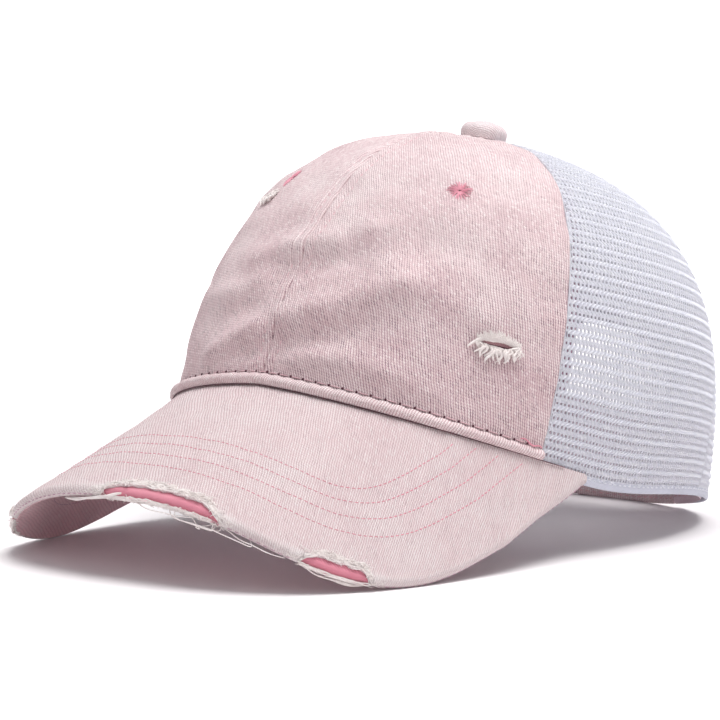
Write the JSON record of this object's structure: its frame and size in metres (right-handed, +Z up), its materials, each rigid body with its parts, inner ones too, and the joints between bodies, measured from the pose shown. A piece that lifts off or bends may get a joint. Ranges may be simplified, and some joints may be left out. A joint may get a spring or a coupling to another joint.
{
  "type": "ponytail baseball cap",
  "caption": "Low-profile ponytail cap with washed, torn twill front panels and brim, white mesh sides and back, and an arched opening at the rear.",
  "frame": {"origin": "bottom centre of the whole cap as it rests", "axes": "+Z up, the brim points along -Y, the wearer's left is +X"},
  "size_m": [0.176, 0.2622, 0.1428],
  "materials": {
    "pink_twill": "washed pale pink cotton twill",
    "white_mesh": "white knitted polyester mesh",
    "seam_tape": "plain white woven tape",
    "band_cotton": "plain soft cotton",
    "rose_satin": "slightly shiny rose cloth over the brim board",
    "rose_thread": "rose embroidery thread"
  },
  "bodies": {
    "root": {"front_panel_left": "pink_twill", "front_panel_right": "pink_twill", "side_mesh_left": "white_mesh", "side_mesh_right": "white_mesh", "back_mesh_left": "white_mesh", "back_mesh_right": "white_mesh", "mesh_hem_left": "white_mesh", "mesh_hem_right": "white_mesh", "eyelet_left": "rose_thread", "eyelet_right": "rose_thread", "strap_left": "pink_twill", "strap_right": "pink_twill", "side_tape_left": "seam_tape", "side_tape_right": "seam_tape", "rear_tape_left": "seam_tape", "rear_tape_right": "seam_tape", "front_tape": "seam_tape", "back_tape": "seam_tape", "base_roll": "pink_twill", "sweatband": "band_cotton", "arch_binding": "seam_tape", "top_button": "pink_twill", "brim_upper": "pink_twill", "brim_inlay": "rose_satin", "brim_under": "pink_twill"}
  },
  "joints": []
}
